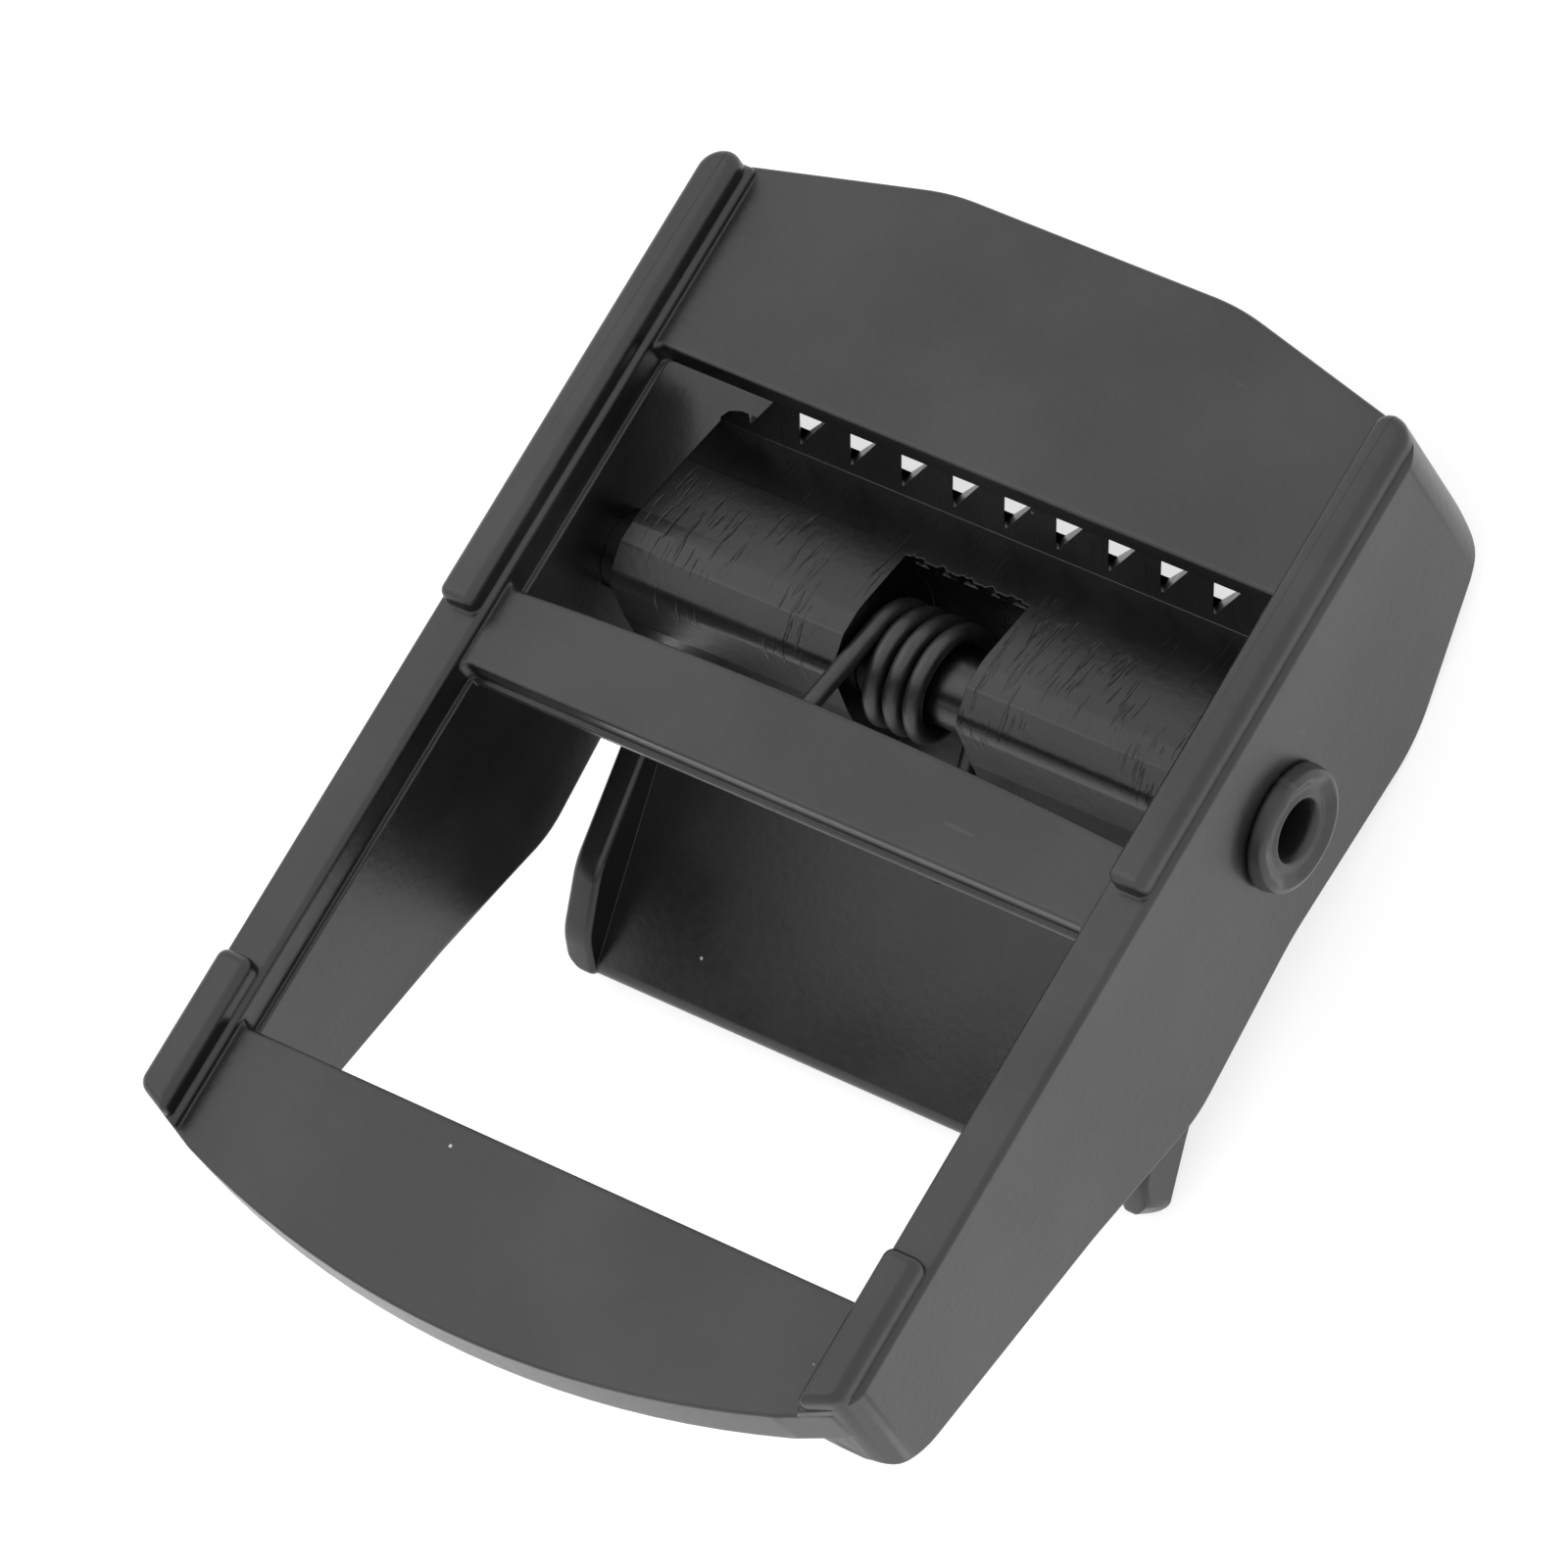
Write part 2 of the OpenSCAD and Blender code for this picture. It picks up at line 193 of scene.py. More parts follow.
def inset(table, depth):
    """The outline moved in: a corner goes depth / sin(half angle) along its bisector, and
    its radius shrinks by depth where it stands out and grows by depth where it is hollow."""
    points, radius, back, ahead, half, turn = corners(table)
    moved = points + unit(back + ahead) * (turn * depth / np.sin(half))[:, None]
    return np.column_stack([moved, np.maximum(radius - turn * depth, LEAST_RADIUS)])


def rounded(table, steps=8):
    """Each corner as an arc: its centre lies radius / sin(half) along the bisector, it
    starts radius / tan(half) back from the corner, and it turns by 180 degrees less the
    corner's angle."""
    points, radius, back, ahead, half, turn = corners(table)
    centre = points + unit(back + ahead) * (radius / np.sin(half))[:, None]
    start = points + back * (radius / np.tan(half))[:, None] - centre
    angle = np.arctan2(start[:, 1], start[:, 0])[:, None]
    angle = angle + (turn * (np.pi - 2 * half))[:, None] * np.linspace(0, 1, steps + 1)
    arc = radius[:, None, None] * np.stack([np.cos(angle), np.sin(angle)], -1)
    return (centre[:, None] + arc).reshape(-1, 2)


def mirrored_table(table):
    """The right half of an outline that is symmetric about its b axis, made whole."""
    left = [(-a, b, r) for a, b, r in reversed(table) if a > 0]
    return list(table) + left


# Surfaces
def skin(rings, wrap=False):
    """Faces between the rings of a grid (ring, point, xyz) that closes round each ring,
    with a flat cap on the first and the last ring, or with the last joined to the first."""
    count, size, _ = rings.shape
    row = np.arange(count if wrap else count - 1)[:, None] * size
    below, above = row, (row + size) % (count * size)
    here, there = np.arange(size), (np.arange(size) + 1) % size
    quads = np.stack([below + here, below + there, above + there, above + here], -1)
    faces = quads.reshape(-1, 4).tolist()
    if not wrap:
        faces += [here[::-1].tolist(), (here + (count - 1) * size).tolist()]
    return rings.reshape(-1, 3), faces


def slab(table, low, high, edges, place, steps=8):
    """Plate over an outline, from the height low to high, each a number or a function of
    the outline's points. Its low and high edges are quarter circles of their own radii: the
    ring at angle t stands in by edge (1 - sin t) and lies edge (1 - cos t) inside its face."""
    rings = []
    for level, way, edge in ((low, 1, edges[0]), (high, -1, edges[1])):
        for t in np.linspace(0, np.pi / 2, EDGE_RINGS)[::way]:
            ab = rounded(inset(table, edge * (1 - np.sin(t))), steps)
            height = level(ab) if callable(level) else level
            rings.append(place(ab, height + way * edge * (1 - np.cos(t))))
    return skin(np.array(rings))


def prism(table, low, high, place, steps=8, low_table=None):
    """Straight cutter from an outline at the height low, the same or one of its own, to
    the outline at the height high."""
    foot = rounded(low_table or table, steps)
    return skin(np.array([place(foot, low), place(rounded(table, steps), high)]))


def moved(shape, across):
    """The shape moved along X."""
    points, faces = shape
    return points + np.array([across, 0, 0]), faces


def mirror(shape):
    """The shape mirrored across X = 0, its faces turned back to point outwards."""
    points, faces = shape
    return points * np.array([-1, 1, 1]), [face[::-1] for face in faces]


def both(shape):
    """The shape and its mirror image."""
    return [shape, mirror(shape)]


def turned(profile, steps=96):
    """Surface of revolution about the hinge axis: each point (radius, x) of a closed
    profile, a function of the angle too, goes to y = radius cos t, z = radius sin t."""
    t = np.linspace(0, 2 * np.pi, steps, endpoint=False)[:, None]
    radius, x = profile(t)
    y = PIVOT[0] + radius * np.cos(t)
    z = PIVOT[1] + radius * np.sin(t)
    return skin(np.stack([x, y, z], -1), wrap=True)


def tube(path, radius, sides=20):
    """Round wire along a path: a circle of the radius square to the path at each point,
    its start turned with the path, closed at both ends by a dome of shrinking rings."""
    run = unit(np.gradient(path, axis=0))
    up = unit(np.cross(run, [1.0, 0.0, 0.0]))
    side = np.cross(run, up)
    dome = np.radians([8.0, 30.0, 55.0, 75.0])
    size = np.concatenate([np.sin(dome), np.ones(len(path)), np.sin(dome)[::-1]]) * radius
    push = np.concatenate([-np.cos(dome), np.zeros(len(path)), np.cos(dome)[::-1]]) * radius
    ends = len(dome)
    run, up, side, path = (
        np.concatenate([np.repeat(a[:1], ends, 0), a, np.repeat(a[-1:], ends, 0)])
        for a in (run, up, side, path)
    )
    t = np.linspace(0, 2 * np.pi, sides, endpoint=False)[None, :, None]
    ring = np.cos(t) * up[:, None] + np.sin(t) * side[:, None]
    return skin(path[:, None] + run[:, None] * push[:, None, None] + ring * size[:, None, None])


# Objects
def mesh_of(name, shape):
    """A mesh of one shape, in the units of its points."""
    mesh = bpy.data.meshes.new(name)
    mesh.from_pydata(shape[0], [], shape[1])
    return mesh


def linked(name, data):
    """An object of a mesh, a light or a camera, in the scene."""
    thing = bpy.data.objects.new(name, data)
    bpy.context.scene.collection.objects.link(thing)
    return thing


def carved(name, first, steps):
    """The first shape with others joined to it, cut from it or kept in common, in turn."""
    base = linked(name + "_base", mesh_of(name + "_base", first))
    others = []
    for operation, shape in steps:
        others.append(linked(name + "_other", mesh_of(name + "_other", shape)))
        step = base.modifiers.new(operation.title(), "BOOLEAN")
        step.operation = operation
        step.solver = "MANIFOLD"
        step.object = others[-1]
    bpy.context.view_layer.update()
    result = bpy.data.meshes.new_from_object(
        base.evaluated_get(bpy.context.evaluated_depsgraph_get())
    )
    for spare in [base, *others]:
        bpy.data.objects.remove(spare)
    if not result.polygons:
        raise RuntimeError(f"{name}: the solid steps left nothing")
    return result


def finished(name, mesh, material, node, body):
    """The mesh, made in the buckle's own frame, laid down as a piece: smooth, sharp along
    its hard edges, with normals that follow its large faces, standing for its CAD node."""
    points = np.empty(len(mesh.vertices) * 3)
    mesh.vertices.foreach_get("co", points)
    mesh.vertices.foreach_set("co", laid_down(points.reshape(-1, 3)).ravel())
    mesh.polygons.foreach_set("use_smooth", np.ones(len(mesh.polygons), bool))
    mesh.set_sharp_from_angle(angle=HARD_EDGE)
    mesh.name = name
    mesh.materials.clear()
    mesh.materials.append(material)
    mesh.update()
    piece = linked(name, mesh)
    weighted = piece.modifiers.new("Even shading", "WEIGHTED_NORMAL")
    weighted.keep_sharp = True
    weighted.weight = 100
    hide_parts(node)
    if body:
        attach(piece, body)
    return piece


# Shader maths
def shaded(colour, factor=1):
    """A colour made darker or lighter by a factor, with its alpha."""
    return [c * factor for c in colour] + [1]


class Sock:
    """A node's output that Python's operators work on, each adding its Math node."""

    def __init__(self, finish, socket):
        self.finish, self.socket = finish, socket

    def math(self, operation, *values):
        return self.finish.add("ShaderNodeMath", {"operation": operation}, dict(enumerate(values)))

    def __add__(self, other):
        return self.math("ADD", self, other)

    def __sub__(self, other):
        return self.math("SUBTRACT", self, other)

    def __rsub__(self, other):
        return self.math("SUBTRACT", other, self)

    def __mul__(self, other):
        return self.math("MULTIPLY", self, other)

    __radd__ = __add__

    def ease(self, low, high):
        """0 below low, 1 above high, smooth between; the other way round if low > high."""
        return self.finish.add(
            "ShaderNodeMapRange",
            {"interpolation_type": "SMOOTHSTEP"},
            {"Value": self, "From Min": low, "From Max": high},
        )

    def part(self, axis):
        """One component of a vector."""
        return self.finish.add("ShaderNodeSeparateXYZ", {}, {0: self}, axis)


class Finish:
    """A material's node tree, with its shader and its output."""

    def __init__(self, name):
        self.material = bpy.data.materials.new(name)
        self.material.use_nodes = True
        self.tree = self.material.node_tree
        self.tree.nodes.clear()
        self.shader = self.tree.nodes.new("ShaderNodeBsdfPrincipled")
        output = self.tree.nodes.new("ShaderNodeOutputMaterial")
        self.tree.links.new(self.shader.outputs[0], output.inputs["Surface"])

    def add(self, kind, settings, inputs, output=0):
        """A node of a kind with its settings made first, then its sockets set or linked."""
        node = self.tree.nodes.new(kind)
        for key, value in settings.items():
            setattr(node, key, value)
        for key, value in inputs.items():
            self.put(node.inputs[key], value)
        return Sock(self, node.outputs[output])

    def put(self, socket, value):
        """Links a socket or sets its own value."""
        if isinstance(value, Sock):
            self.tree.links.new(value.socket, socket)
        else:
            socket.default_value = value

    def set(self, values):
        """Sets or links the shader's sockets."""
        for key, value in values.items():
            self.put(self.shader.inputs[key], value)
        return self.material

    def own_frame(self):
        """The place on the piece in the buckle's own frame, in millimetres."""
        inputs = {
            "Vector": self.add("ShaderNodeTexCoord", {}, {}, "Object"),
            "Location": ORIGIN * MM,
            "Rotation": (-TILT, 0, 0),
            "Scale": (MM, MM, MM),
        }
        return self.add("ShaderNodeMapping", {"vector_type": "TEXTURE"}, inputs)

    def stretched(self, place, scale, turn=(0, 0, 0)):
        """The place turned and scaled along each axis."""
        inputs = {"Vector": place, "Rotation": turn, "Scale": scale}
        return self.add("ShaderNodeMapping", {}, inputs)

    def noise(self, place, scale, detail):
        """Smooth noise from 0 to 1, about scale lumps to the millimetre."""
        inputs = {"Vector": place, "Scale": scale, "Detail": detail}
        return self.add("ShaderNodeTexNoise", {}, inputs, "Fac")

    def mix(self, factor, first, second):
        """Colours mixed by a factor."""
        inputs = {0: factor, 6: first, 7: second}
        return self.add("ShaderNodeMix", {"data_type": "RGBA"}, inputs, 2)

    def edges(self, radius):
        """Normal rounded over a radius in millimetres, and how much an edge turns it."""
        soft = self.add("ShaderNodeBevel", {"samples": 6}, {"Radius": radius * MM}, "Normal")
        plain = self.add("ShaderNodeNewGeometry", {}, {}, "Normal")
        product = {"operation": "DOT_PRODUCT"}
        same = self.add("ShaderNodeVectorMath", product, {0: soft, 1: plain}, 1)
        return soft, 1.0 - same

    def bump(self, height, depth, normal=None):
        """Normal of a relief whose height 1 is depth in millimetres."""
        inputs = {"Height": height, "Strength": 1.0, "Distance": depth * MM}
        if normal:
            inputs["Normal"] = normal
        return self.add("ShaderNodeBump", {}, inputs, "Normal")

    def specks(self, place, scale, size, share):
        """Rare round specks: cells of a Voronoi pattern, only the share whose random colour
        is lowest, each a disc of the size in cells."""
        inputs = {"Vector": place, "Scale": scale}
        near = self.add("ShaderNodeTexVoronoi", {}, inputs, "Distance")
        chance = self.add("ShaderNodeTexVoronoi", {}, inputs, "Color").part(0)
        return near.ease(size, size * 0.5) * chance.ease(share, share * 0.9)


def painted(name, looks, wear, edge=0.15, drum=False):
    """Satin black coating on a casting: fine orange peel, slow waves, a slow cloud of darker and
    lighter base colour that is painted sheen, worn edges, rare dust and hair scratches, and on
    the drum a field of short scratches that run round it at a slant. The edges are softened
    over a radius in millimetres, and wear is how strongly they show the worn colour."""
    f = Finish(name)
    place = f.own_frame()
    soft, turn = f.edges(edge)
    peel = f.noise(place, scale=3.2, detail=2.0)
    waves = f.noise(place, scale=0.33, detail=1.0)
    # Slow cloud: it varies the roughness, and it paints an uneven sheen into the coating's colour
    cloud = f.noise(place, scale=0.12, detail=3.0)
    dust = f.specks(place, scale=0.55, size=0.045, share=0.075)
    hair = f.stretched(place, scale=(0.25, 2.2, 0.9), turn=(0.3, 0.2, 0.9))
    hairs = f.noise(hair, scale=0.8, detail=1.0).ease(0.80, 0.81)
    rubbed = turn.ease(0.02, 0.25)
    worn = rubbed * f.noise(place, scale=0.9, detail=3.0).ease(0.42, 0.66)
    # Painted sheen: the slow cloud mixes the coating from darker to lighter, in place of the
    # uneven gleam that the surround lays on it
    painted_sheen_dark, painted_sheen_light = shaded(looks.coating, 0.3), shaded(looks.coating, 3)
    shade = f.mix(cloud.ease(0.36, 0.66), painted_sheen_dark, painted_sheen_light)
    shade = f.mix(worn * wear, shade, shaded(looks.worn))
    rough = looks.roughness + (peel - 0.5) * 0.10 + (cloud - 0.5) * 0.12 - worn * 0.06
    height = peel * 0.35 + waves * 0.65
    if drum:
        around = f.stretched(place, scale=(3.6, 0.32, 0.32), turn=(0.0, 0.0, 0.30))
        field = f.noise(around, scale=1.6, detail=2.0).ease(0.57, 0.68)
        upper = place.part(2).ease(-4.2, -3.2)
        marks = field * (upper * f.noise(place, scale=0.30, detail=1.0).ease(0.40, 0.58))
        rough = rough + marks * 0.08
        height = height - marks * 1.3
    shade = f.mix(dust + hairs * 0.03, shade, shaded(DUST))
    return f.set({
        "Base Color": shade,
        "Roughness": rough,
        "Specular IOR Level": 0.6,
        "Normal": f.bump(height, looks.grain / MM, soft),
    })


def drawn_wire(name, looks):
    """Dark spring wire: fine draw lines, and a thin oil film that varies its roughness."""
    f = Finish(name)
    place = f.own_frame()
    lines = f.noise(f.stretched(place, scale=(7.0, 1.2, 1.2)), scale=1.4, detail=3.0)
    film = f.noise(place, scale=0.7, detail=2.0)
    shade = f.mix(lines.ease(0.35, 0.7), shaded(looks.wire), shaded(looks.wire, 1.8))
    return f.set({
        "Base Color": shade,
        "Metallic": 0.1,
        "Specular IOR Level": 0.7,
        "Roughness": 0.30 + film * 0.14,
        "Normal": f.bump(lines, 0.004),
    })


def paper(name, colour, glow):
    """Plain pale floor: matt, lit a little from beneath, with a faint slow mottle and a
    fine tooth."""
    f = Finish(name)
    place = f.own_frame()
    mottle = f.noise(place, scale=0.012, detail=3.0)
    shade = f.mix(mottle, shaded(colour, 0.985), shaded(colour))
    return f.set({
        "Base Color": shade,
        "Roughness": 0.85 + mottle * 0.05,
        "Specular IOR Level": 0.2,
        "Emission Color": shade,
        "Emission Strength": glow,
        "Normal": f.bump(f.noise(place, scale=1.5, detail=2.0), 0.01),
    })


# Settings
def length(name, description, value, low, high):
    """A length that is given in millimetres and kept in metres."""
    return FloatProperty(
        name=name,
        description=description,
        default=value * MM,
        min=low * MM,
        max=high * MM,
        unit="LENGTH",
        precision=5,
    )


def tint(name, description, value):
    """A linear colour."""
    return FloatVectorProperty(
        name=name, description=description, default=value, min=0, max=1, size=3, subtype="COLOR"
    )


def amount(name, description, value, low, high, unit="NONE"):
    """A plain number."""
    return FloatProperty(
        name=name, description=description, default=value, min=low, max=high, unit=unit
    )


def in_mm(group):
    """A group's lengths in millimetres, and its counts as they are."""
    values = {key: getattr(group, key) for key in group.__annotations__}
    return SimpleNamespace(**{k: v if isinstance(v, int) else v / MM for k, v in values.items()})


class FrameSizes(bpy.types.PropertyGroup):
    """Sizes of the cast frame"""

    plate: length("Plate thickness", "Thickness of the base plate and the mid bar", 1.35, 1.1, 1.6)
    end_bar: length("End bar thickness", "Thickness of the end bar", 2.0, 1.6, 2.6)
    rail: length("Rail height", "Height of the rails above the plates", 1.15, 0.9, 1.4)
    shoulder: length("Shoulder height", "Height of the shoulder beside the rails", 0.35, 0.2, 0.6)
    soft: length("Edge radius", "Radius of the casting's outer edges", 0.25, 0.1, 0.3)


class LeverSizes(bpy.types.PropertyGroup):
    """Sizes of the cam lever"""

    notches: IntProperty(
        name="Notches", description="Notches between the teeth", default=10, min=6, max=10
    )
    pitch: length("Tooth pitch", "Spacing of the teeth", 2.2, 2.0, 2.25)
    depth: length("Notch depth", "Depth of a notch between two teeth", 2.29, 1.5, 2.5)
    width: length("Notch reach", "How far a notch opens to +X of its place", 1.5, 0.8, 1.7)
    lean: length("Notch lean", "How far a notch's floor lies to -X of its place", 0.68, 0.3, 0.9)


class PinSizes(bpy.types.PropertyGroup):
    """Sizes of the hollow rivet pin"""

    radius: length("Pin radius", "Outer radius of the pin", 1.45, 1.3, 1.5)
    bore: length("Bore radius", "Radius of the pin's bore", 1.05, 0.8, 1.1)
    collar: length("Collar radius", "Radius of the flared collars", 2.3, 2.1, 2.5)
    stand: length("Collar height", "How far a collar stands off its wall", 0.68, 0.4, 0.8)


class SpringSizes(bpy.types.PropertyGroup):
    """Sizes of the torsion spring"""

    wire: length("Wire", "Diameter of the wire", 0.70, 0.6, 0.86)
    coil: length("Coil radius", "Mean radius of the coils", 1.95, 1.85, 2.06)
    pitch: length("Coil pitch", "Advance of the coil in one turn", 0.86, 0.8, 1.0)
    leg: length("Lever leg", "Length of the leg that bears on the thumb plate", 7.0, 5.0, 7.5)


class FinishSettings(bpy.types.PropertyGroup):
    """Colours and texture of the finishes"""

    coating: tint("Coating", "Colour of the black coating", (0.004, 0.004, 0.0042))
    worn: tint("Worn edges", "Colour of the coating where it is rubbed", (0.03, 0.03, 0.03))
    wire: tint("Wire", "Colour of the spring wire", (0.010, 0.010, 0.0105))
    roughness: amount("Roughness", "Roughness of the coating", 0.31, 0.2, 0.8)
    grain: length("Grain", "Depth of the coating's orange peel and waves", 0.02, 0.0, 0.1)


class StudioSettings(bpy.types.PropertyGroup):
    """Floor and light of the studio"""

    floor: tint("Floor", "Colour of the floor", (0.45, 0.45, 0.45))
    glow: amount("Floor glow", "Light from beneath the floor", 1.5, 0, 2)
    sky: amount("Surround", "Light from all round", 1.25, 0, 3)
    key: amount("Softbox", "Power of the overhead softbox", 0.5, 0, 20, "POWER")


# Pieces
class BUCKLE_OT_frame(bpy.types.Operator):
    """Cast frame: two stepped side walls, a base plate, a mid bar and an end bar"""

    bl_idname = "buckle.frame"
    bl_label = "Cast frame"

    def execute(self, context):
        s = in_mm(context.scene.buckle_frame)
        # Lower outline of a side wall, from the end bar to the base plate: Y, Z and radius
        low = [
            (-18.35, -5.6, 3.2),
            (-7.5, -8.8, 10),
            (-1.6, -10.95, 4),
            (5.3, -10.25, 10),
            (13.6, -10.85, 5),
            (19.8, -7.7, 2.6),
            (20.75, -3.9, 5),
        ]
        wall_drop, wall_draft = 12.35, 0.5
        skirt_drop, skirt_draft = 10.95, 0.35
        parting = -1.05  # height of the inner faces' parting step

        def outer(ab):
            """Outer face: drafted by 0.5 mm over 12.35 mm, down from the shoulder."""
            return HALF_OUT - wall_draft * (s.shoulder - ab[:, 1]) / wall_drop

        def inner(ab):
            """Inner face below the parting step: drafted by 0.35 mm over 10.95 mm."""
            return HALF_IN - 0.2 - skirt_draft * (ab[:, 1] - parting) / skirt_drop

        wall = slab(
            low + [(20.35, s.shoulder, 0.3), (-19.3, s.shoulder, 0.3)],
            HALF_IN, outer, (s.soft, s.soft), on_side, 12,
        )
        skirt = slab(
            low + [(20.33, -1.0, 0.1), (-19.2, -1.0, 0.1)],
            inner, 14.2, (0.07, 0.07), on_side, 12,
        )

        # Rails on the walls' inner edges, one beside the base plate and one by the end bar
        rail_in, rail_out = HALF_IN + 0.2, HALF_OUT - 0.2
        rail_foot, rail_edges = -0.6, (0.05, 0.38)
        far_rail, near_rail = (
            slab(table, rail_foot, s.rail, rail_edges, on_plan, 12)
            for table in (
                [
                    (rail_in, 1.6, 0.4), (rail_out, 1.6, 0.4),
                    (rail_out, 20.3, 0.95), (rail_in, 20.45, 0.6),
                ],
                [
                    (rail_in, -19.02, 0.2), (rail_out, -18.38, 0.6),
                    (rail_out, -12.8, 0.4), (rail_in, -12.8, 0.4),
                ],
            )
        )

        # Outline of the whole frame from above, which rounds the four ends of the walls
        bow, bow_end = (0, -23.63, 39.4), (12.55, -19.48, 2.9)  # the end bar's curved front
        ends_top, ends_low = 4, -14

        def plan_ends(z):
            """Outline whose long sides lie a hair inside the walls' outer faces at height z,
            and whose far corners lean out towards the floor."""
            side = outer(np.array([[0, z]]))[0] - 0.01
            return [bow] + mirrored_table([
                bow_end,
                (side, -18.3, 1.3),
                (side, 20.5 + (ends_top - z) * 0.03, 1.6),
                (11, 20.5, 0.05),
                (6.1, 22.3, 9),
            ])

        top_outline, low_outline = plan_ends(ends_top), plan_ends(ends_low)
        ends = prism(top_outline, ends_low, ends_top, on_plan, 20, low_outline)

        # Plates between the walls: they reach into them, and flare where they meet them
        reach, foot = HALF_IN + 0.45, HALF_IN + 0.02
        flare, fine = 0.4, 0.16
        base_outline = mirrored_table([
            (foot, 13.2, flare),
            (foot, 12.6, fine),
            (reach, 12.6, fine),
            (reach, 20.46, fine),
            (6.1, 22.27, 9),
        ])
        mid_outline = mirrored_table([
            (foot, 0, flare),
            (foot, -0.6, fine),
            (reach, -0.6, fine),
            (reach, 3.75, fine),
            (foot, 3.75, fine),
            (foot, 3.12, flare),
        ])
        mid_outline.insert(6, (0, 3.9, 214))  # the mid bar's far edge is slightly bowed
        end_outline = [bow] + mirrored_table([
            bow_end,
            (14.5, -18.62, 0.3),
            (14.5, -14.2, 0.3),
            (foot, -14.2, 0.3),
            (foot, -14.82, flare),
        ])
        ledge = [
            (-reach, -0.2, 0.08), (reach, -0.2, 0.08), (reach, 0.8, 0.08), (-reach, 0.8, 0.08)
        ]
        ledge_top = -1.0
        plate_edges = (0.15, 0.15)
        plates = [
            slab(base_outline, -s.plate, 0, plate_edges, on_plan, 12),
            slab(mid_outline, -s.plate, 0, plate_edges, on_plan, 16),
            slab(ledge, -s.plate, ledge_top, (0.06, 0.06), on_plan),
            slab(end_outline, -s.end_bar, 0, (0.16, 0.12), on_plan, 20),
        ]

        steps = [("UNION", shape) for side in (skirt, far_rail, near_rail) for shape in both(side)]
        steps += [("UNION", mirror(wall)), ("INTERSECT", ends)]
        steps += [("UNION", plate) for plate in plates]
        steps += [("DIFFERENCE", prism(hinge_hole(FRAME_BORE), -16, 16, on_side, 16))]
        mesh = carved("cast_frame", wall, steps)
        coat = painted("Frame coating", context.scene.buckle_finish, wear=0.35)
        finished("cast_frame", mesh, coat, "frame", "frame")
        return {"FINISHED"}


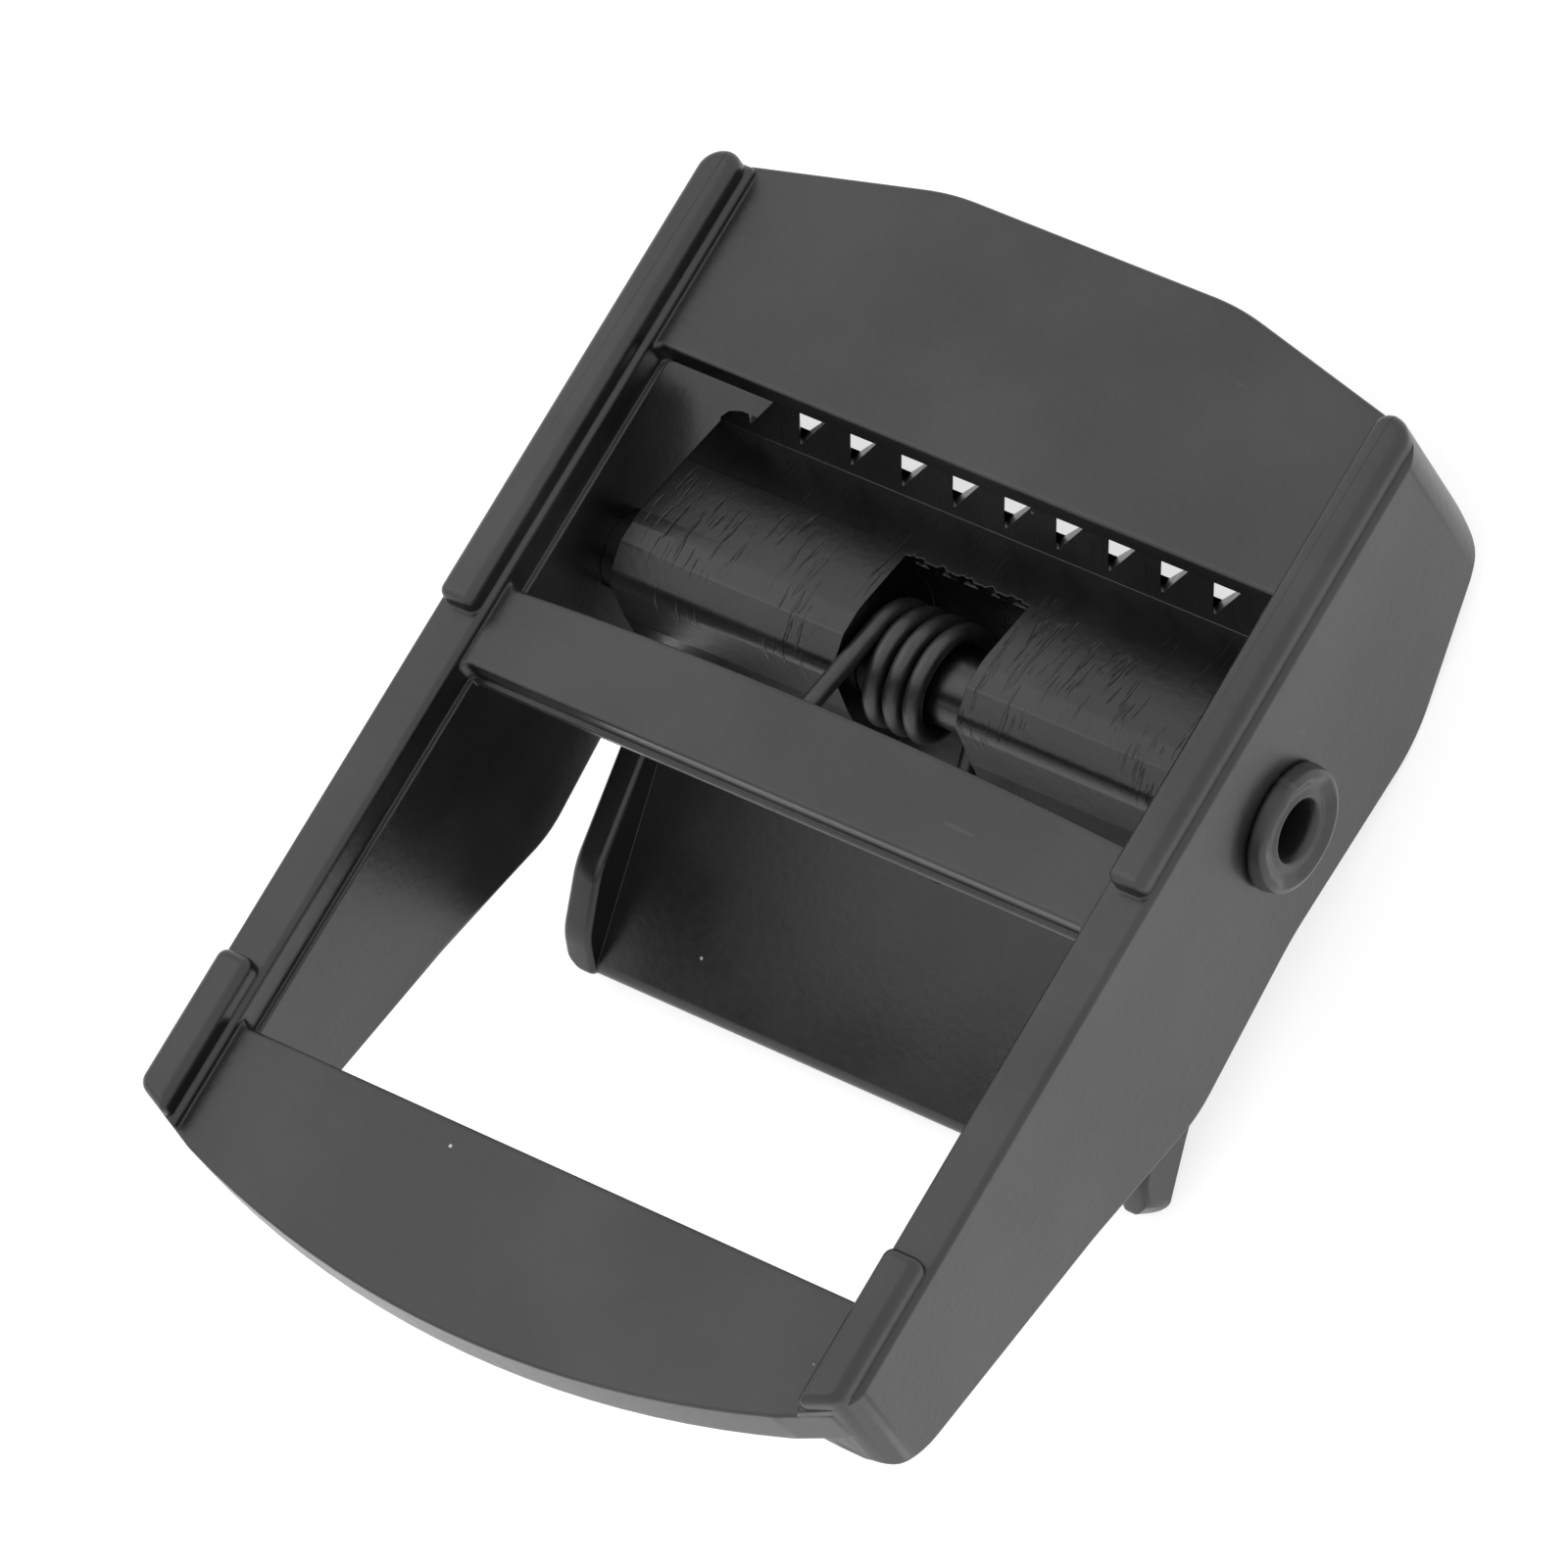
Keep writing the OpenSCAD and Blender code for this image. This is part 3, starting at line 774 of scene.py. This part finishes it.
class BUCKLE_OT_lever(bpy.types.Operator):
    """Cam lever: toothed drum with a spring pocket, thumb plate and two side flanges"""

    bl_idname = "buckle.lever"
    bl_label = "Cam lever"

    def execute(self, context):
        s = in_mm(context.scene.buckle_lever)
        tip = polar(TIP_RADIUS, TIP_ANGLE)
        rise = math.radians(TOOTH_RISE)
        face = 2.72  # from the teeth's tips down their front faces to the drum's top
        # Thumb plate: its top from the drum to the end, then its underside back to the drum
        plate = on_thumb_table([
            (5.9, -THUMB_DROP, 1.2),
            (15.25, -THUMB_DROP, 0.5),
            (15.05, -4.17, 0.6),
            (12.2, -3.82, 4),
        ])
        # Drum and thumb plate in one outline about the hinge axis: Y, Z and radius
        body = [
            (*tip, 0.08),
            (tip[0] - face * math.cos(rise), tip[1] - face * math.sin(rise), 0.03),
            (3.3, 1.98, 5),
            (0.45, 2.88, 2),
            (-0.65, 2.90, 0.2),
            (-1.9, 2.28, 0.9),
            (-2.3, 0.0, 1.5),
            (-2.45, -1.7, 1.5),
            *plate,
            (6.280, -3.276, 5.1),
            (6.3, 0.95, 0.5),
            (tip[0] + 0.3, tip[1], 0.08),
        ]
        flange = on_thumb_table([
            (4.4, -2.4, 0.35),
            (11.3, -1.25, 3),
            (13.9, -1.8, 2),
            (15.25, -THUMB_DROP, 0.4),
            (15.05, -4.17, 0.6),
            (12.2, -3.82, 4),
            (4.4, -3.345, 0.3),
        ])
        thickness = 1.2
        side = slab(
            from_hinge(flange), THUMB_HALF - thickness, THUMB_HALF, (0.25, 0.25), on_side, 12
        )
        drum = slab(from_hinge(body), -DRUM_HALF, DRUM_HALF, (0.11, 0.11), on_side, 14)
        steps = [("UNION", shape) for shape in both(side)]

        # Notches between the teeth, as outlines on the teeth's front faces: X and the way up,
        # from the tips. Each is a loft through the teeth, from its outline on the front faces
        # to a larger one behind them that lies lower and further to -X.
        lip = about_hinge(TOOTH_RISE)
        turn = rise - math.radians(TIP_ANGLE)
        tip_up, tip_out = TIP_RADIUS * math.cos(turn), -TIP_RADIUS * math.sin(turn)
        over = 0.4  # how far a cut runs past the tips
        notch = [(-s.lean, -s.depth, 0.06), (s.width, over, 0.03), (-0.25, over, 0.03)]
        notch_back = [
            (-s.lean - 1.12, -s.depth - 1.1, 0.06),
            (s.width + 0.2, over, 0.03),
            (-1.4, over, 0.03),
        ]

        def tooth_place(centre):
            """Outline about its place on the teeth's front faces."""
            return lambda ab, height: lip(ab + np.array([centre, tip_up]), height + tip_out)

        for i in range(s.notches):
            centre = (i - (s.notches - 1) / 2) * s.pitch
            cut = prism(notch, -1.2, 0.12, tooth_place(centre), 6, notch_back)
            steps.append(("DIFFERENCE", cut))

        # The -X end of the toothed lip is cut down to a stub
        left = -DRUM_HALF
        lip_end = [
            (left - 1, -2.62, 0.05),
            (left, -2.62, 0.3),
            (left + 0.6, -2.0, 0.2),
            (left + 1.2, -1.76, 0.15),
            (left + 1.85, -1.76, 0.1),
            (left + 3.5, over, 0.05),
            (left - 1, over, 0.05),
        ]
        lip_end_back = [(a - 1.9, b - 2.6, r) for a, b, r in lip_end]
        steps.append(("DIFFERENCE", prism(lip_end, -2, 0.05, tooth_place(0), 6, lip_end_back)))

        # Spring pocket, open above and towards the thumb plate
        pocket_left, pocket_right = -2.3, 2.95
        wall_y = 3.08
        pocket = [
            (*on_thumb(6.7, -THUMB_DROP - 0.004), 0.05),
            (wall_y, -1.729, 2.84),
            (wall_y, 6.0, 0.05),
            (*on_thumb(6.7, 6.0), 0.05),
        ]
        cut = prism(from_hinge(pocket), pocket_left, pocket_right, on_side, 16)
        steps.append(("DIFFERENCE", cut))

        # The pocket's far rim is ragged, as cast: two sine waves along X
        rim_left, rim_right, near = -2.2, 2.9, PIVOT[0] + 2
        x = np.linspace(rim_left, rim_right, 60)
        rim = PIVOT[0] + wall_y + 0.03 + 0.07 * np.sin(6.1 * x) + 0.05 * np.sin(15 * x + 1)
        ragged = [(rim_right, near), *zip(x[::-1], rim[::-1]), (rim_left, near)]
        ragged = [(a, b, 0.01) for a, b in ragged]
        steps.append(("DIFFERENCE", prism(ragged, PIVOT[1] + 1.5, PIVOT[1] + 4, on_plan, 1)))

        # Outline of the whole lever from above, which rounds the thumb plate's two corners
        past, end = THUMB_HALF + 0.05, -15.3
        ends = [(-past, end, 1.15), (past, end, 1.15), (past, 14, 0.1), (-past, 14, 0.1)]
        steps.append(("INTERSECT", prism(ends, -12, 12, about_hinge(LEVER_ANGLE))))
        steps.append(("DIFFERENCE", prism(hinge_hole(LEVER_BORE), -14, 14, on_side, 16)))
        steps = [(operation, moved(shape, LEVER_SHIFT)) for operation, shape in steps]
        mesh = carved("toothed_lever", moved(drum, LEVER_SHIFT), steps)
        looks = context.scene.buckle_finish
        coat = painted("Lever coating", looks, wear=0.3, edge=0.06, drum=True)
        finished("toothed_lever", mesh, coat, "cam_lever", "lever")
        return {"FINISHED"}


class BUCKLE_OT_pin(bpy.types.Operator):
    """Hollow rivet pin with a flared, rolled collar at each end"""

    bl_idname = "buckle.pin"
    bl_label = "Rivet pin"

    def execute(self, context):
        s = in_mm(context.scene.buckle_pin)
        seat = HALF_OUT - 0.1  # the collars start inside the walls' outer faces
        rim = seat + s.stand
        # Half of the profile, from the bore over the collar to the shank: radius, X, rounding
        half = [
            (s.bore, rim - 1.2, 2),
            (s.bore + 0.03, rim - 0.5, 0.6),
            (s.bore + 0.16, rim - 0.16, 0.1),
            (s.bore + 0.5, rim - 0.24, 0.4),
            (s.collar - 0.25, rim, 0.12),
            (s.collar - 0.03, rim - 0.1, 0.1),
            (s.collar + 0.04, seat + 0.12, 0.1),
            (s.collar + 0.04, seat, 0.05),
            (s.radius, seat, 0.05),
        ]
        whole = half + [(r, -x, e) for r, x, e in reversed(half)]
        outline = rounded(whole, 6)[None]

        def profile(t):
            """Radius and x of the rolled profile; the rim wavers by a few hundredths of a
            millimetre in three waves round the collar, more the further out it lies."""
            radius, x = outline[..., 0], outline[..., 1]
            lip = np.clip((np.abs(x) - seat) / s.stand, 0, 1)
            lip = lip * np.clip((radius - s.bore - 0.2) / 0.6, 0, 1)
            waver = 0.030 * np.sin(3 * t + 1.0) + 0.022 * np.sin(5 * t + 2.1)
            waver = waver + 0.014 * np.sin(11 * t)
            return radius + lip * (waver - 0.045), x - np.sign(x) * lip * (0.03 + waver * 0.8)

        mesh = mesh_of("rivet_pin", turned(profile))
        coat = painted("Pin coating", context.scene.buckle_finish, wear=0.5)
        finished("rivet_pin", mesh, coat, "hinge_pin", "frame")
        return {"FINISHED"}


class BUCKLE_OT_spring(bpy.types.Operator):
    """Torsion spring: three turns round the pin, one leg under the mid bar and one on the lever"""

    bl_idname = "buckle.spring"
    bl_label = "Torsion spring"

    def execute(self, context):
        s = in_mm(context.scene.buckle_spring)
        gap = 0.02  # between a leg and what it bears on
        start_x = -1.66  # X of the leg under the mid bar
        bar_reach = 2.6  # Y of that leg's tip
        bar_tip = np.array([bar_reach, BAR_UNDER - s.wire / 2 - gap]) - PIVOT
        span = np.linalg.norm(bar_tip)
        first = math.atan2(bar_tip[1], bar_tip[0]) - math.acos(s.coil / span)
        fixed_leg = math.sqrt(span**2 - s.coil**2)
        lean = math.asin((THUMB_DROP - s.wire / 2 - gap - s.coil) / s.leg)
        last = math.radians(LEVER_ANGLE - 90 - 3 * 360) + lean
        turns = (first - last) / (2 * math.pi)
        end_x = start_x + s.pitch * turns

        # Coil: x grows evenly with the angle, which runs from the first leg to the last
        k = np.linspace(0, 1, 200)
        angle = first + (last - first) * k
        x = start_x + (end_x - start_x) * k
        coil = np.stack([x, s.coil * np.cos(angle), s.coil * np.sin(angle)], -1)

        def leg(point, a, reach):
            """Straight leg along the coil's tangent at angle a."""
            way = np.array([0, -math.sin(a), math.cos(a)])
            return point + np.linspace(0, 1, 24)[1:, None] * reach * way

        bar_leg, lever_leg = leg(coil[0], first, fixed_leg), leg(coil[-1], last, -s.leg)
        path = np.concatenate([bar_leg[::-1], coil, lever_leg]) + np.array([0, *PIVOT])
        mesh = mesh_of("coil_spring", tube(path, s.wire / 2))
        wire = drawn_wire("Spring wire", context.scene.buckle_finish)
        piece = finished("coil_spring", mesh, wire, "torsion_spring", None)
        ends = laid_down([(start_x, *PIVOT), (end_x, *PIVOT)])
        tuple(ends[0])
        tuple(ends[1])
        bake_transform(piece)
        return {"FINISHED"}


class BUCKLE_OT_studio(bpy.types.Operator):
    """Studio: pale floor, soft surround, overhead softbox and the camera"""

    bl_idname = "buckle.studio"
    bl_label = "Studio"

    def execute(self, context):
        s = context.scene.buckle_studio
        # Floor: a grid 3 m square that lies a hair under the buckle
        side = np.linspace(-1.5, 1.5, 25)
        x, y = np.meshgrid(side, side)
        grid = np.stack([x, y, np.full_like(x, -0.00002)], -1)
        size = len(side)
        row = np.arange(size - 1)[:, None] * size + np.arange(size - 1)
        faces = np.stack([row, row + 1, row + size + 1, row + size], -1).reshape(-1, 4)
        mesh = mesh_of("floor", (grid.reshape(-1, 3), faces.tolist()))
        mesh.materials.append(paper("Floor paper", s.floor, s.glow))
        floor = linked("floor", mesh)
        floor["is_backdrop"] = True

        # Surround: even white light from all round
        world = bpy.data.worlds.new("Studio surround")
        world.use_nodes = True
        sky = world.node_tree.nodes["Background"]
        sky.inputs["Color"].default_value = (1, 1, 1, 1)
        sky.inputs["Strength"].default_value = s.sky
        context.scene.world = world
        context.scene.view_settings.view_transform = "Standard"

        # Softbox: square, overhead, turned to the buckle
        light = bpy.data.lights.new("Overhead softbox", "AREA")
        light.size = 0.5
        light.energy = s.key
        lamp = linked("Overhead softbox", light)
        lamp.location = (-0.35, 0.1, 0.6)
        lamp.rotation_euler = lamp.location.to_track_quat("Z", "Y").to_euler()

        # Camera: its place and axes in the buckle's own frame
        right = np.array([0.7953, 0.5005, -0.3422])
        back = np.array([0.5015, -0.2259, 0.8351])
        spot = laid_down([213.706, -95.607, 355.258])
        lens = bpy.data.cameras.new("Camera")
        lens.lens = 289.06
        lens.sensor_width = 36
        lens.clip_start = 0.01
        camera = linked("Camera", lens)
        axes = LAY @ unit(np.array([right, np.cross(back, right), back])).T
        camera.matrix_world = Matrix.Translation(spot) @ Matrix(axes.tolist()).to_4x4()
        context.scene.camera = camera
        return {"FINISHED"}


class BUCKLE_PT_panel(bpy.types.Panel):
    """Lists the pieces and their settings"""

    bl_idname = "BUCKLE_PT_panel"
    bl_label = "Cam buckle"
    bl_space_type = "VIEW_3D"
    bl_region_type = "UI"
    bl_category = "Buckle"

    def draw(self, context):
        for kind in OPERATORS:
            self.layout.operator(kind.bl_idname)
        for name, group in GROUPS.items():
            box = self.layout.box()
            box.label(text=group.__doc__)
            for key in group.__annotations__:
                box.prop(getattr(context.scene, name), key)


OPERATORS = (BUCKLE_OT_frame, BUCKLE_OT_lever, BUCKLE_OT_pin, BUCKLE_OT_spring, BUCKLE_OT_studio)
GROUPS = {
    "buckle_frame": FrameSizes,
    "buckle_lever": LeverSizes,
    "buckle_pin": PinSizes,
    "buckle_spring": SpringSizes,
    "buckle_finish": FinishSettings,
    "buckle_studio": StudioSettings,
}


def register():
    for kind in (*GROUPS.values(), *OPERATORS, BUCKLE_PT_panel):
        bpy.utils.register_class(kind)
    for name, group in GROUPS.items():
        setattr(bpy.types.Scene, name, PointerProperty(type=group))


def unregister():
    for name in GROUPS:
        delattr(bpy.types.Scene, name)
    for kind in (BUCKLE_PT_panel, *reversed(OPERATORS), *reversed(GROUPS.values())):
        bpy.utils.unregister_class(kind)


def main():
    register()
    bpy.ops.buckle.studio()
    bpy.ops.buckle.frame()
    bpy.ops.buckle.lever()
    bpy.ops.buckle.pin()
    bpy.ops.buckle.spring()
    boxes = {"cad": cad_box, "visual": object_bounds()}
    {key: np.array(box).tolist() for key, box in boxes.items()}


if __name__ == "__main__":
    main()
